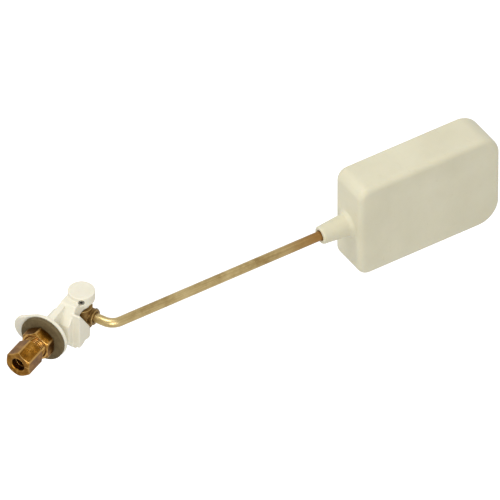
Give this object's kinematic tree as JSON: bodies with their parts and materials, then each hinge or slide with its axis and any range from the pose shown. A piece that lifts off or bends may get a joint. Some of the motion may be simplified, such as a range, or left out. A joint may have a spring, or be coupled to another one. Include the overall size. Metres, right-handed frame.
{
  "type": "float_valve",
  "caption": "Float valve with a brass compression inlet, a white moulded body with a forked yoke, and a hollow white float on a cranked brass arm",
  "frame": {"origin": "centre of the gasket's sealing face on the inlet axis, where the tank wall meets it", "axes": "+X runs along the inlet axis into the tank, +Y is up when the valve is fitted to an upright wall, +Z runs along the pivot pin"},
  "size_m": [0.2462, 0.1415, 0.054],
  "materials": {
    "white_nylon": "moulded satin",
    "float_plastic": "blow-moulded satin",
    "gasket_rubber": "matte",
    "turned_brass": "turned and machined",
    "lever_brass": "cast and tumbled",
    "rod_brass": "drawn, dull",
    "screw_steel": "plain"
  },
  "bodies": {
    "valve_frame": {"valve_body": "white_nylon", "wall_gasket": "gasket_rubber", "mounting_nut": "turned_brass", "inlet_shank": "turned_brass", "compression_nut": "turned_brass", "compression_sleeve": "turned_brass", "shank_o_ring": "gasket_rubber", "seat_nozzle": "turned_brass", "pivot_pin": "turned_brass", "pin_lock_screw": "screw_steel"},
    "float_lever": {"lever_hub": "lever_brass", "arm_set_screw": "screw_steel", "float_arm": "rod_brass", "float_shell": "float_plastic", "float_insert": "turned_brass"},
    "valve_plunger": {"plunger": "white_nylon", "seat_disc": "gasket_rubber"}
  },
  "joints": [
    {"name": "float_swing", "type": "hinge", "parent": "valve_frame", "child": "float_lever", "pos_m": [0.0254, -0.0065, 0], "axis": [0, 0, 1], "range_deg": [0, 26]},
    {"name": "plunger_slide", "type": "slide", "parent": "valve_frame", "child": "valve_plunger", "axis": [-1, 0, 0], "range_m": [0, 0.00295]}
  ],
  "couplings": [
    {"joint": "plunger_slide", "follows": "float_swing", "m_per_rad": 0.0065}
  ]
}
